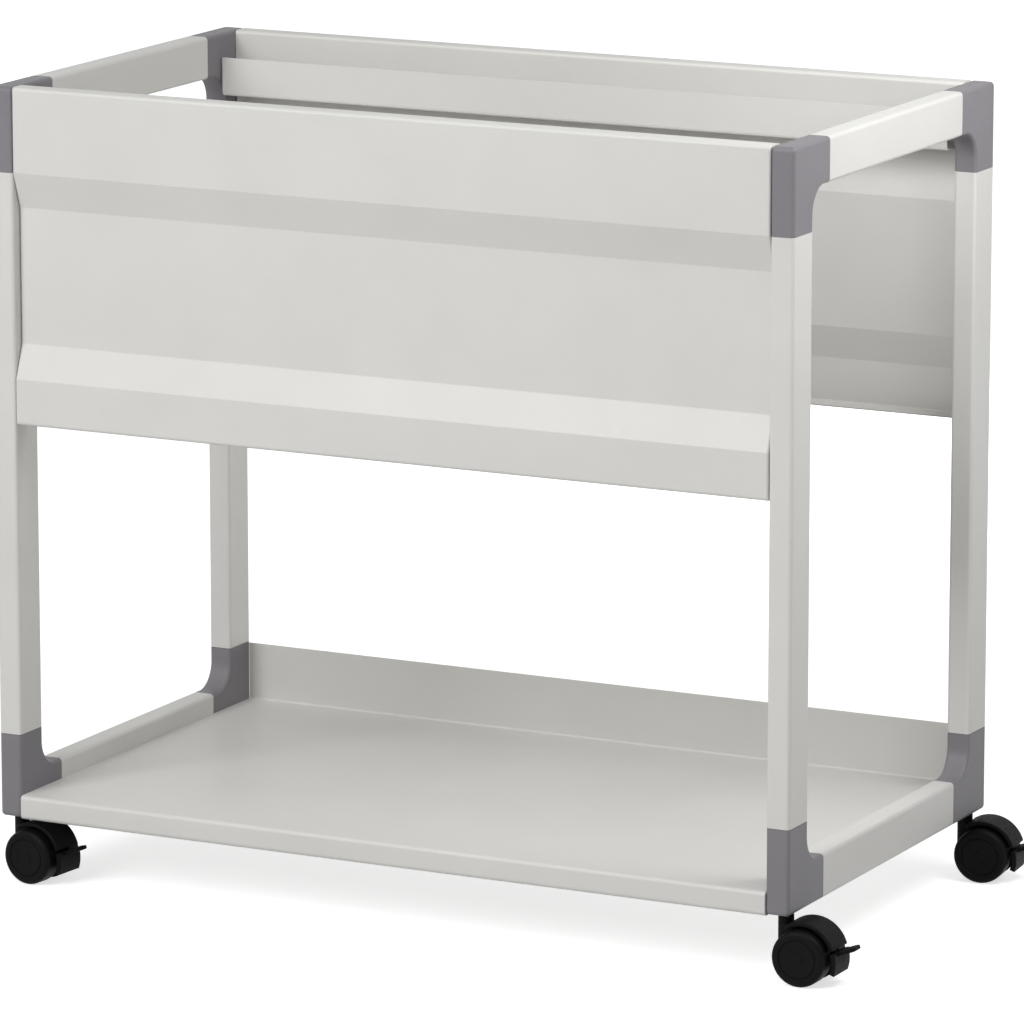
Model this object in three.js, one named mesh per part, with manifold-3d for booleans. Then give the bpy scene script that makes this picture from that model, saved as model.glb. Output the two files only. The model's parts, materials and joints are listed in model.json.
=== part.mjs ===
// Mobile file cart: two end frames of steel tube and moulded corners, joined by a folded front
// panel, a folded rear panel and a shelf, standing on four braked twin-wheel casters.
// Millimetres. X runs along the front, Y towards the rear, Z up from the floor.

import * as THREE from 'three';
import { mergeVertices } from 'three/addons/utils/BufferGeometryUtils.js';
import Module from 'manifold-3d';

const wasm = await Module();
wasm.setup();

// Frame
const FRAME_WIDTH = 788;
const FRAME_DEPTH = 430;
const FRAME_HEIGHT = 730;

// Tube of the posts and end rails
const TUBE_THICKNESS = 22;
const TUBE_FACE = 40;
const TUBE_WALL = 1.5;
const TUBE_CORNER = 3.5;

// Moulded corner connectors
const CORNER_LEG = 77;
const CORNER_ARM = 72.5;
const CORNER_FILLET = 24;
const CORNER_NOSE_EXTRA = 1;
const SPIGOT_LENGTH = 26;
const SPIGOT_CLEARANCE = 0.3;
const SEAM = 0.3;

// Folded sheet of the panels, shelf and file rails
const SHEET = 1.2;
const SHEET_BEND = 3.5;
const SIDE_GAP = 0.4;

// Front and rear panels, heights measured down from the top edge
const PANEL_UPPER_BAND = 77;
const PANEL_UPPER_SLOPE = 32.5;
const PANEL_RECESS_BAND = 123.5;
const PANEL_LOWER_SLOPE = 31;
const PANEL_LOWER_BAND = 42;
const PANEL_RECESS = 11;
const PANEL_RETURN = 9;
const PANEL_LIP = 40;
const PANEL_END_BEND = 2;

// File rails, hooked over by hanging files
const FILE_RAIL_SPACING = 330;
const FILE_RAIL_DROP = 22;
const FILE_RAIL_ABOVE_CREASE = 19;
const FILE_RAIL_SEAT = 0.3;

// Shelf
const SHELF_LIP = 20;
const SHELF_UPSTAND = 56;
const SHELF_LIP_RETURN = 12;
const SHELF_END_FLANGE = 16;

// Screws
const SCREW_DIAMETER = 4;
const SCREW_LENGTH = 9;
const SCREW_HEAD_DIAMETER = 8;
const SCREW_HEAD_HEIGHT = 2.4;
const SCREW_CLEARANCE = 0.3;
const SCREW_SEAT = 0.1;
const SCREW_EDGE_DISTANCE = 8;
const SCREW_FROM_SPIGOT = 20;

// Casters
const WHEEL_DIAMETER = 50;
const WHEEL_WIDTH = 17.5;
const WHEEL_TRACK = 15;
const WHEEL_SHOULDER = 4;
const WHEEL_FACE_RING = 4;
const WHEEL_DISC_STEP = 0.8;
const WHEEL_RUNNING_GAP = 0.5;
const CASTER_TRAIL = 21.5;
const AXLE_DIAMETER = 6;
const AXLE_CLEARANCE = 0.15;
const HUB_COVER = 2.5;
const HOUSING_FLOOR_GAP = 5;
const NECK_HEIGHT = 22;
const HOOD_GAP = 2;
const HOOD_WALL = 4;
const HOOD_WIDTH = 32;
const HOOD_HEADROOM = 4;
const HOOD_REAR_ANGLE = 17;
const HOOD_FRONT_ANGLE = 122;
const BOSS_WALL = 2;
const BOSS_DEPTH = 32;
const BOSS_TOP_GAP = 1.4;
const STEM_CLEARANCE = 0.3;
const STEM_SOCKET_DIAMETER = 10;
const STEM_SOCKET_DEPTH = 34;

// Brake pedals
const BRAKE_TRAVEL = 10;
const BRAKE_GAP = 0.9;
const PIVOT_INSET = 5.5;
const PIVOT_ANGLE = 18;
const PIVOT_DIAMETER = 4;
const PIVOT_WALL = 2.5;
const FORK_GAP = 0.4;
const PEDAL_WEB = 4.4;
const SHOE_TOP_ANGLE = 8;
const SHOE_BOTTOM_ANGLE = -30;
const TAB_LENGTH = 16;
const TAB_WIDTH = 16;
const TAB_THICKNESS = 3.6;
const TAB_RISE = 11;

// How each caster stands, in degrees about Z from trailing along +X
const CASTER_TURN = { front_right: 0, front_left: -6, rear_right: 6, rear_left: 180 };

// Facet counts
const ARC_STEPS = 3;
const BEND_STEP = Math.PI / 4;
const FILLET_STEPS = 4;
const SHOULDER_STEPS = 2;
const HOOD_STEPS = 5;
const SHOE_STEPS = 4;
const WHEEL_STEPS = 24;
const ROUND_STEPS = 16;
const SMALL_ROUND_STEPS = 10;

// Places worked out from the sizes above
const CUT_OVER = 1;
const WHEEL_RADIUS = WHEEL_DIAMETER / 2;
const HOOD_RADIUS = WHEEL_RADIUS + HOOD_GAP + HOOD_WALL;
const FRAME_BOTTOM = WHEEL_RADIUS + HOOD_RADIUS + HOOD_HEADROOM;
const END_FRAME_X = (FRAME_WIDTH - TUBE_THICKNESS) / 2;
const INNER_FACE_X = FRAME_WIDTH / 2 - TUBE_THICKNESS;
const POST_Y = (FRAME_DEPTH - TUBE_FACE) / 2;
const POST_BOTTOM = FRAME_BOTTOM + CORNER_LEG + SEAM;
const POST_TOP = FRAME_HEIGHT - CORNER_LEG - SEAM;
const RAIL_HALF = FRAME_DEPTH / 2 - CORNER_ARM - SEAM;
const TOP_RAIL_Z = FRAME_HEIGHT - TUBE_FACE / 2;
const BOTTOM_RAIL_Z = FRAME_BOTTOM + TUBE_FACE / 2;
const SHEET_HALF = INNER_FACE_X - SIDE_GAP;
const PANEL_DEPTH = PANEL_RECESS + PANEL_RETURN;
const PANEL_BOTTOM = FRAME_HEIGHT - PANEL_UPPER_BAND - PANEL_UPPER_SLOPE - PANEL_RECESS_BAND
  - PANEL_LOWER_SLOPE - PANEL_LOWER_BAND;
const PANEL_SCREW_Y = FRAME_DEPTH / 2 - PANEL_DEPTH + SCREW_EDGE_DISTANCE;
const PANEL_SCREW_HEIGHTS = {
  upper: FRAME_HEIGHT - CORNER_LEG / 2,
  lower: PANEL_BOTTOM + PANEL_LOWER_BAND / 2,
};
const SHELF_TOP = FRAME_BOTTOM + SHELF_LIP;
const SHELF_SCREW_Y = RAIL_HALF - SPIGOT_LENGTH - SCREW_FROM_SPIGOT;
const SHELF_SCREW_Z = SHELF_TOP - SHELF_END_FLANGE / 2;
const HOUSING_WIDTH = WHEEL_TRACK - 2 * WHEEL_RUNNING_GAP;
const BOSS_TOP = FRAME_BOTTOM - BOSS_TOP_GAP;
const STEM_PIN_DIAMETER = HOUSING_WIDTH - 2 * BOSS_WALL;

// Materials
const PAINTED_STEEL = { color: 0xd4d3cf, roughness: 0.5, metalness: 0 };
const GREY_PLASTIC = { color: 0x8a878c, roughness: 0.6, metalness: 0 };
const BLACK_PLASTIC = { color: 0x17171a, roughness: 0.45, metalness: 0 };
const ZINC_STEEL = { color: 0xb4b4b2, roughness: 0.35, metalness: 1 };

const cart = new THREE.Group();

function addPiece(name, geometry, finish, parent = cart) {
  const mesh = new THREE.Mesh(geometry, new THREE.MeshStandardMaterial(finish));
  mesh.name = name;
  parent.add(mesh);
}

// Closed solids that can be joined and cut

function solidOf(geometry) {
  const bare = geometry.clone();
  bare.deleteAttribute('normal');
  bare.deleteAttribute('uv');
  const merged = mergeVertices(bare);
  const corners = merged.index.array;
  const triangles = [];
  for (let i = 0; i < corners.length; i += 3) {
    const [a, b, c] = corners.slice(i, i + 3);
    if (a !== b && b !== c && c !== a) {
      triangles.push(a, b, c);
    }
  }
  return new wasm.Manifold(new wasm.Mesh({
    numProp: 3,
    vertProperties: new Float32Array(merged.attributes.position.array),
    triVerts: new Uint32Array(triangles),
  }));
}

function geometryOf(solid) {
  const mesh = solid.getMesh();
  const geometry = new THREE.BufferGeometry();
  geometry.setAttribute('position', new THREE.BufferAttribute(mesh.vertProperties.slice(), 3));
  geometry.setIndex(new THREE.BufferAttribute(mesh.triVerts.slice(), 1));
  geometry.computeVertexNormals();
  return geometry;
}

function joined(geometries) {
  return geometries.map(solidOf).reduce((whole, part) => whole.add(part));
}

function shaped(geometries, cutters = []) {
  const solid = cutters.reduce((rest, cutter) => rest.subtract(solidOf(cutter)), joined(geometries));
  return geometryOf(solid);
}

// Outlines

function arcPoints(centreX, centreY, radius, fromDegrees, toDegrees, steps) {
  const points = [];
  for (let i = 0; i <= steps; i += 1) {
    const angle = THREE.MathUtils.degToRad(fromDegrees + (toDegrees - fromDegrees) * i / steps);
    points.push(new THREE.Vector2(centreX + radius * Math.cos(angle), centreY + radius * Math.sin(angle)));
  }
  return points;
}

function roundedRectangle(width, height, radius) {
  const x = width / 2 - radius;
  const y = height / 2 - radius;
  return new THREE.Shape([
    ...arcPoints(x, y, radius, 0, 90, ARC_STEPS),
    ...arcPoints(-x, y, radius, 90, 180, ARC_STEPS),
    ...arcPoints(-x, -y, radius, 180, 270, ARC_STEPS),
    ...arcPoints(x, -y, radius, 270, 360, ARC_STEPS),
  ]);
}

// Rounds every inner corner of an open path
function softened(corners, radius) {
  const points = [corners[0]];
  for (let i = 1; i + 1 < corners.length; i += 1) {
    const into = corners[i].clone().sub(corners[i - 1]).normalize();
    const out = corners[i + 1].clone().sub(corners[i]).normalize();
    const turn = Math.atan2(into.cross(out), into.dot(out));
    const reach = radius * Math.tan(Math.abs(turn) / 2);
    const start = corners[i].clone().addScaledVector(into, -reach);
    const inward = new THREE.Vector2(-into.y, into.x).multiplyScalar(Math.sign(turn) * radius);
    const centre = start.clone().add(inward);
    const steps = Math.ceil(Math.abs(turn) / BEND_STEP);
    for (let step = 0; step <= steps; step += 1) {
      points.push(start.clone().rotateAround(centre, turn * step / steps));
    }
  }
  points.push(corners[corners.length - 1]);
  return points;
}

// The same path moved sideways, to its left for a positive distance
function offsetPath(points, distance) {
  return points.map((point, i) => {
    const before = points[Math.max(i - 1, 0)];
    const after = points[Math.min(i + 1, points.length - 1)];
    const into = point.clone().sub(before).normalize();
    const out = after.clone().sub(point).normalize();
    const along = into.clone().add(out).normalize();
    const side = new THREE.Vector2(-along.y, along.x);
    const stretch = Math.max(along.dot(into), along.dot(out));
    return point.clone().addScaledVector(side, distance / stretch);
  });
}

function sheetOutline(corners, thickness) {
  const face = softened(corners, SHEET_BEND);
  return [...face, ...offsetPath(face, thickness).reverse()];
}

// Extrusions and other simple solids in their places

function extruded(shape, length) {
  const geometry = new THREE.ExtrudeGeometry(shape, { depth: length, bevelEnabled: false });
  return geometry.translate(0, 0, -length / 2);
}

// Turns an extrusion of an outline drawn in (Y, Z) so that it runs along X
function alongX(geometry) {
  const turn = new THREE.Matrix4().makeBasis(
    new THREE.Vector3(0, 1, 0),
    new THREE.Vector3(0, 0, 1),
    new THREE.Vector3(1, 0, 0),
  );
  return geometry.applyMatrix4(turn);
}

// Turns an extrusion of an outline drawn in (X, Z) so that it runs along Y
function alongY(geometry) {
  return geometry.rotateX(Math.PI / 2);
}

function boxBetween(low, high) {
  const size = high.clone().sub(low);
  const middle = low.clone().add(high).multiplyScalar(0.5);
  return new THREE.BoxGeometry(size.x, size.y, size.z).translate(middle.x, middle.y, middle.z);
}

function rod(radius, length, steps) {
  return new THREE.CylinderGeometry(radius, radius, length, steps);
}

function rodAlongX(radius, length) {
  return rod(radius, length, SMALL_ROUND_STEPS).rotateZ(Math.PI / 2);
}

function rodAlongZ(radius, length) {
  return rod(radius, length, ROUND_STEPS).rotateX(Math.PI / 2);
}

// Solid through a row of outlines in (Y, Z), each at its own X, capped at both ends
function loft(sections) {
  const count = sections[0].outline.length;
  const positions = [];
  for (const { x, outline } of sections) {
    for (const point of outline) {
      positions.push(x, point.x, point.y);
    }
  }
  const faces = [];
  for (let s = 0; s + 1 < sections.length; s += 1) {
    for (let i = 0; i < count; i += 1) {
      const a = s * count + i;
      const b = s * count + (i + 1) % count;
      faces.push(a, b, b + count, a, b + count, a + count);
    }
  }
  const last = (sections.length - 1) * count;
  for (const [i, j, k] of THREE.ShapeUtils.triangulateShape(sections[0].outline, [])) {
    faces.push(k, j, i, last + i, last + j, last + k);
  }
  const geometry = new THREE.BufferGeometry();
  geometry.setAttribute('position', new THREE.Float32BufferAttribute(positions, 3));
  geometry.setIndex(faces);
  return geometry;
}

// Screw hole through the thin walls at one side of the cart
function screwHole(side, y, z) {
  const hole = rodAlongX(SCREW_DIAMETER / 2 + SCREW_CLEARANCE, 2 * (SCREW_LENGTH + CUT_OVER));
  return hole.translate(side * INNER_FACE_X, y, z);
}

// Posts and end rails

function tube(length) {
  const shape = roundedRectangle(TUBE_THICKNESS, TUBE_FACE, TUBE_CORNER);
  const inside = roundedRectangle(
    TUBE_THICKNESS - 2 * TUBE_WALL,
    TUBE_FACE - 2 * TUBE_WALL,
    TUBE_CORNER - TUBE_WALL,
  );
  shape.holes.push(inside);
  return extruded(shape, length);
}

function post(side, end) {
  const place = tube(POST_TOP - POST_BOTTOM);
  place.translate(side * END_FRAME_X, end * POST_Y, (POST_TOP + POST_BOTTOM) / 2);
  return shaped([place], [screwHole(side, end * PANEL_SCREW_Y, PANEL_SCREW_HEIGHTS.lower)]);
}

function endRail(side, z, holes) {
  const place = alongY(tube(2 * RAIL_HALF)).translate(side * END_FRAME_X, 0, z);
  return shaped([place], holes);
}

// Corner connectors

function spigot(length) {
  const inset = TUBE_WALL + SPIGOT_CLEARANCE;
  const shape = roundedRectangle(
    TUBE_THICKNESS - 2 * inset,
    TUBE_FACE - 2 * inset,
    TUBE_CORNER - inset,
  );
  return extruded(shape, length);
}

// Level is 1 for a top corner and -1 for a bottom corner
function connector(side, end, level) {
  const outerZ = level > 0 ? FRAME_HEIGHT : FRAME_BOTTOM;
  const place = (inward, away) => new THREE.Vector2(end * (FRAME_DEPTH / 2 - inward), outerZ - level * away);
  const fillet = Math.min(CORNER_FILLET, CORNER_LEG - TUBE_FACE, CORNER_ARM - TUBE_FACE);
  const past = TUBE_CORNER + CUT_OVER;
  const filletCentre = TUBE_FACE + fillet;
  const nose = TUBE_CORNER + CORNER_NOSE_EXTRA;
  const outline = [
    ...arcPoints(nose, nose, nose, 180, 270, ARC_STEPS),
    new THREE.Vector2(CORNER_ARM + past, 0),
    new THREE.Vector2(CORNER_ARM + past, TUBE_FACE),
    ...arcPoints(filletCentre, filletCentre, fillet, -90, -180, FILLET_STEPS),
    new THREE.Vector2(TUBE_FACE, CORNER_LEG + past),
    new THREE.Vector2(0, CORNER_LEG + past),
  ].map((point) => place(point.x, point.y));
  const core = TUBE_THICKNESS - 2 * TUBE_CORNER;
  const body = alongX(new THREE.ExtrudeGeometry(new THREE.Shape(outline), {
    depth: core,
    bevelThickness: TUBE_CORNER,
    bevelSize: TUBE_CORNER,
    bevelOffset: -TUBE_CORNER,
    bevelSegments: ARC_STEPS,
  }).translate(0, 0, -core / 2));
  body.translate(side * END_FRAME_X, 0, 0);

  const nearCorner = place(-CUT_OVER, -CUT_OVER);
  const farCorner = place(CORNER_ARM, CORNER_LEG);
  const trim = boxBetween(
    new THREE.Vector3(
      side * END_FRAME_X - TUBE_THICKNESS,
      Math.min(nearCorner.x, farCorner.x),
      Math.min(nearCorner.y, farCorner.y),
    ),
    new THREE.Vector3(
      side * END_FRAME_X + TUBE_THICKNESS,
      Math.max(nearCorner.x, farCorner.x),
      Math.max(nearCorner.y, farCorner.y),
    ),
  );
  const reach = SPIGOT_LENGTH + CUT_OVER;
  const legEnd = place(TUBE_FACE / 2, CORNER_LEG - CUT_OVER + reach / 2);
  const armEnd = place(CORNER_ARM - CUT_OVER + reach / 2, TUBE_FACE / 2);
  const legSpigot = spigot(reach).translate(side * END_FRAME_X, legEnd.x, legEnd.y);
  const armSpigot = alongY(spigot(reach)).translate(side * END_FRAME_X, armEnd.x, armEnd.y);
  let solid = solidOf(body).intersect(solidOf(trim)).add(solidOf(legSpigot)).add(solidOf(armSpigot));
  if (level > 0) {
    solid = solid.subtract(solidOf(screwHole(side, end * PANEL_SCREW_Y, PANEL_SCREW_HEIGHTS.upper)));
  } else {
    solid = solid.subtract(solidOf(stemSocket(side, end)));
  }
  return geometryOf(solid);
}

function stemSocket(side, end) {
  const depth = STEM_SOCKET_DEPTH + 2 * CUT_OVER;
  const socket = rodAlongZ(STEM_SOCKET_DIAMETER / 2 + STEM_CLEARANCE, depth);
  return socket.translate(side * END_FRAME_X, end * POST_Y, FRAME_BOTTOM + depth / 2 - CUT_OVER);
}

// Front and rear panels: a folded pan with a lip turned down inside its top edge

function panelPath() {
  const crease1 = FRAME_HEIGHT - PANEL_UPPER_BAND;
  const crease2 = crease1 - PANEL_UPPER_SLOPE;
  const crease3 = crease2 - PANEL_RECESS_BAND;
  const crease4 = crease3 - PANEL_LOWER_SLOPE;
  return softened([
    new THREE.Vector2(PANEL_DEPTH, FRAME_HEIGHT - PANEL_LIP),
    new THREE.Vector2(PANEL_DEPTH, FRAME_HEIGHT),
    new THREE.Vector2(0, FRAME_HEIGHT),
    new THREE.Vector2(0, crease1),
    new THREE.Vector2(PANEL_RECESS, crease2),
    new THREE.Vector2(PANEL_RECESS, crease3),
    new THREE.Vector2(0, crease4),
    new THREE.Vector2(0, PANEL_BOTTOM),
    new THREE.Vector2(PANEL_DEPTH, PANEL_BOTTOM),
  ], SHEET_BEND);
}

// Block behind a panel's face: the face falls back round the end bends, the back stays flat
function panelBlock(end, outline, halfLength, endBend) {
  const stations = [];
  for (let i = 0; i <= ARC_STEPS; i += 1) {
    const angle = Math.PI / 2 * i / ARC_STEPS;
    const fall = endBend * (1 - Math.cos(angle));
    const x = halfLength - endBend * (1 - Math.sin(angle));
    stations.push({ x, fall });
    stations.unshift({ x: -x, fall });
  }
  return loft(stations.map(({ x, fall }) => {
    const section = outline.map((point) => {
      const depth = point.x < PANEL_RECESS + SHEET_BEND ? point.x + fall : point.x;
      return new THREE.Vector2(end * (FRAME_DEPTH / 2 - depth), point.y);
    });
    return { x, outline: end < 0 ? section : section.reverse() };
  }));
}

function panel(end) {
  const face = panelPath();
  const hollow = offsetPath(face, SHEET);
  const behind = PANEL_DEPTH + CUT_OVER;
  hollow.unshift(new THREE.Vector2(behind, hollow[0].y));
  hollow.push(new THREE.Vector2(behind, hollow[hollow.length - 1].y));
  const outside = panelBlock(end, face, SHEET_HALF, PANEL_END_BEND);
  const inside = panelBlock(end, hollow, SHEET_HALF - SHEET, PANEL_END_BEND - SHEET);
  const holes = [];
  for (const side of [-1, 1]) {
    for (const height of Object.values(PANEL_SCREW_HEIGHTS)) {
      holes.push(screwHole(side, end * PANEL_SCREW_Y, height));
    }
  }
  return shaped([outside], [inside, ...holes]);
}

// File rails: a folded channel inside each panel, its inner lip carrying the hooks

function fileRail(end) {
  const near = SHEET + FILE_RAIL_SEAT;
  const far = (FRAME_DEPTH - FILE_RAIL_SPACING) / 2;
  const top = FRAME_HEIGHT - FILE_RAIL_DROP;
  const base = FRAME_HEIGHT - PANEL_UPPER_BAND + FILE_RAIL_ABOVE_CREASE;
  const outline = sheetOutline([
    new THREE.Vector2(near, top),
    new THREE.Vector2(near, base),
    new THREE.Vector2(far, base),
    new THREE.Vector2(far, top),
  ], SHEET);
  const placed = outline.map((point) => new THREE.Vector2(end * (FRAME_DEPTH / 2 - point.x), point.y));
  const length = 2 * (SHEET_HALF - PANEL_END_BEND - FILE_RAIL_SEAT);
  return shaped([alongX(extruded(new THREE.Shape(placed), length))]);
}

// Shelf: lip at the front, upstand at the rear, a flange turned down at each end

function shelf() {
  const front = -FRAME_DEPTH / 2;
  const rear = FRAME_DEPTH / 2 - SHEET;
  const outline = sheetOutline([
    new THREE.Vector2(front + SHELF_LIP_RETURN, FRAME_BOTTOM),
    new THREE.Vector2(front, FRAME_BOTTOM),
    new THREE.Vector2(front, SHELF_TOP),
    new THREE.Vector2(rear, SHELF_TOP),
    new THREE.Vector2(rear, SHELF_TOP + SHELF_UPSTAND),
  ], -SHEET);
  const pieces = [alongX(extruded(new THREE.Shape(outline), 2 * SHEET_HALF))];
  const holes = [];
  for (const side of [-1, 1]) {
    const middle = side * (SHEET_HALF - SHEET / 2);
    pieces.push(boxBetween(
      new THREE.Vector3(middle - SHEET / 2, front + 2 * SHEET_BEND, SHELF_TOP - SHELF_END_FLANGE),
      new THREE.Vector3(middle + SHEET / 2, rear - 2 * SHEET_BEND, SHELF_TOP - SHEET / 2),
    ));
    for (const end of [-1, 1]) {
      holes.push(screwHole(side, end * SHELF_SCREW_Y, SHELF_SCREW_Z));
    }
  }
  return shaped(pieces, holes);
}

// Screws, driven outwards through a flange into the end frame

function screw(side, y, z) {
  const head = SCREW_HEAD_DIAMETER / 2;
  const shank = SCREW_DIAMETER / 2;
  const profile = [
    [0, -SCREW_HEAD_HEIGHT],
    [shank, -SCREW_HEAD_HEIGHT],
    [head, -SCREW_HEAD_HEIGHT / 2],
    [head, 0],
    [shank, 0],
    [shank, SCREW_LENGTH - shank],
    [0, SCREW_LENGTH],
  ].map(([radius, along]) => new THREE.Vector2(radius, along));
  const geometry = new THREE.LatheGeometry(profile, SMALL_ROUND_STEPS).rotateZ(-side * Math.PI / 2);
  const seat = SHEET_HALF - SHEET - SCREW_SEAT;
  return shaped([geometry.translate(side * seat, y, z)]);
}

// Casters, drawn with the stem on the Z axis and the wheels trailing along +X

const AXLE_HALF = WHEEL_TRACK / 2 + WHEEL_WIDTH - HUB_COVER - AXLE_CLEARANCE;
const PIVOT_REACH = WHEEL_RADIUS - PIVOT_INSET;
const PIVOT_X = CASTER_TRAIL + PIVOT_REACH * Math.cos(THREE.MathUtils.degToRad(PIVOT_ANGLE));
const PIVOT_Z = WHEEL_RADIUS + PIVOT_REACH * Math.sin(THREE.MathUtils.degToRad(PIVOT_ANGLE));
const PIVOT_LUG = PIVOT_DIAMETER / 2 + PIVOT_WALL;
const PIVOT_BOSS = PIVOT_LUG - FORK_GAP;

function stem() {
  const pin = STEM_PIN_DIAMETER / 2;
  const collar = HOUSING_WIDTH / 2;
  const top = STEM_SOCKET_DIAMETER / 2;
  const profile = [
    [0, BOSS_TOP - BOSS_DEPTH + SEAM],
    [pin - STEM_CLEARANCE, BOSS_TOP - BOSS_DEPTH + SEAM],
    [pin - STEM_CLEARANCE, BOSS_TOP + SEAM],
    [collar, BOSS_TOP + SEAM],
    [collar, FRAME_BOTTOM - SEAM],
    [top, FRAME_BOTTOM - SEAM],
    [top, FRAME_BOTTOM + STEM_SOCKET_DEPTH],
    [0, FRAME_BOTTOM + STEM_SOCKET_DEPTH],
  ].map(([radius, height]) => new THREE.Vector2(radius, height));
  return shaped([new THREE.LatheGeometry(profile, ROUND_STEPS).rotateX(Math.PI / 2)]);
}

// Body between the wheels: stem boss, disc round the axle, hood over the treads, fork for the pedal
function housing() {
  const discRadius = WHEEL_RADIUS - HOUSING_FLOOR_GAP;
  const halfWidth = HOUSING_WIDTH / 2;
  const disc = rod(discRadius, HOUSING_WIDTH, WHEEL_STEPS).translate(CASTER_TRAIL, 0, WHEEL_RADIUS);
  const neck = boxBetween(
    new THREE.Vector3(0, -halfWidth, WHEEL_RADIUS),
    new THREE.Vector3(CASTER_TRAIL, halfWidth, WHEEL_RADIUS + NECK_HEIGHT),
  );
  const bossHeight = BOSS_DEPTH + BOSS_WALL;
  const boss = rodAlongZ(halfWidth, bossHeight).translate(0, 0, BOSS_TOP - bossHeight / 2);
  const lug = rod(PIVOT_LUG, HOUSING_WIDTH, ROUND_STEPS).translate(PIVOT_X, 0, PIVOT_Z);
  const under = HOOD_RADIUS - HOOD_WALL;
  const crown = arcPoints(0, 0, HOOD_RADIUS, HOOD_REAR_ANGLE, HOOD_FRONT_ANGLE, HOOD_STEPS);
  const underside = arcPoints(0, 0, under, HOOD_FRONT_ANGLE, HOOD_REAR_ANGLE, HOOD_STEPS);
  const hood = alongY(extruded(new THREE.Shape([...crown, ...underside]), HOOD_WIDTH));
  const web = alongY(extruded(new THREE.Shape([...crown, new THREE.Vector2(0, 0)]), HOUSING_WIDTH));
  for (const part of [hood, web]) {
    part.translate(CASTER_TRAIL, 0, WHEEL_RADIUS);
  }
  const across = HOUSING_WIDTH + 2 * CUT_OVER;
  const axleBore = rod(AXLE_DIAMETER / 2 + AXLE_CLEARANCE, across, ROUND_STEPS);
  axleBore.translate(CASTER_TRAIL, 0, WHEEL_RADIUS);
  const pivotBore = rod(PIVOT_DIAMETER / 2 + STEM_CLEARANCE, across, SMALL_ROUND_STEPS);
  pivotBore.translate(PIVOT_X, 0, PIVOT_Z);
  const stemBoreLength = BOSS_DEPTH + CUT_OVER;
  const stemBore = rodAlongZ(STEM_PIN_DIAMETER / 2, stemBoreLength);
  stemBore.translate(0, 0, BOSS_TOP - BOSS_DEPTH + stemBoreLength / 2);
  const slotHalf = PEDAL_WEB / 2 + FORK_GAP;
  const slot = boxBetween(
    new THREE.Vector3(PIVOT_X - PIVOT_LUG, -slotHalf, 0),
    new THREE.Vector3(PIVOT_X + PIVOT_LUG + FORK_GAP, slotHalf, PIVOT_Z + PIVOT_LUG),
  );
  return shaped([disc, neck, boss, lug, hood, web], [axleBore, pivotBore, stemBore, slot]);
}

function axle() {
  const pin = rod(AXLE_DIAMETER / 2, 2 * AXLE_HALF, ROUND_STEPS);
  return shaped([pin.translate(CASTER_TRAIL, 0, WHEEL_RADIUS)]);
}

// A flat of the tread faces the floor, and the flats are tangent to the true circle
function wheel(hand) {
  const tangent = 1 / Math.cos(Math.PI / WHEEL_STEPS);
  const bore = AXLE_DIAMETER / 2 + AXLE_CLEARANCE;
  const shoulderEdge = WHEEL_RADIUS - WHEEL_SHOULDER;
  const disc = shoulderEdge - WHEEL_FACE_RING;
  const profile = [
    new THREE.Vector2(0, WHEEL_WIDTH - HUB_COVER),
    new THREE.Vector2(bore, WHEEL_WIDTH - HUB_COVER),
    new THREE.Vector2(bore, 0),
    new THREE.Vector2(WHEEL_RADIUS, 0),
    ...arcPoints(shoulderEdge, WHEEL_WIDTH - WHEEL_SHOULDER, WHEEL_SHOULDER, 0, 90, SHOULDER_STEPS),
    new THREE.Vector2(disc + WHEEL_DISC_STEP, WHEEL_WIDTH),
    new THREE.Vector2(disc, WHEEL_WIDTH - WHEEL_DISC_STEP),
    new THREE.Vector2(0, WHEEL_WIDTH - WHEEL_DISC_STEP / 2),
  ].map((point) => new THREE.Vector2(point.x * tangent, point.y));
  const geometry = new THREE.LatheGeometry(profile, WHEEL_STEPS).rotateY(Math.PI / WHEEL_STEPS);
  geometry.translate(0, WHEEL_TRACK / 2, 0);
  if (hand < 0) {
    geometry.rotateX(Math.PI);
  }
  return shaped([geometry.translate(CASTER_TRAIL, 0, WHEEL_RADIUS)]);
}

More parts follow.
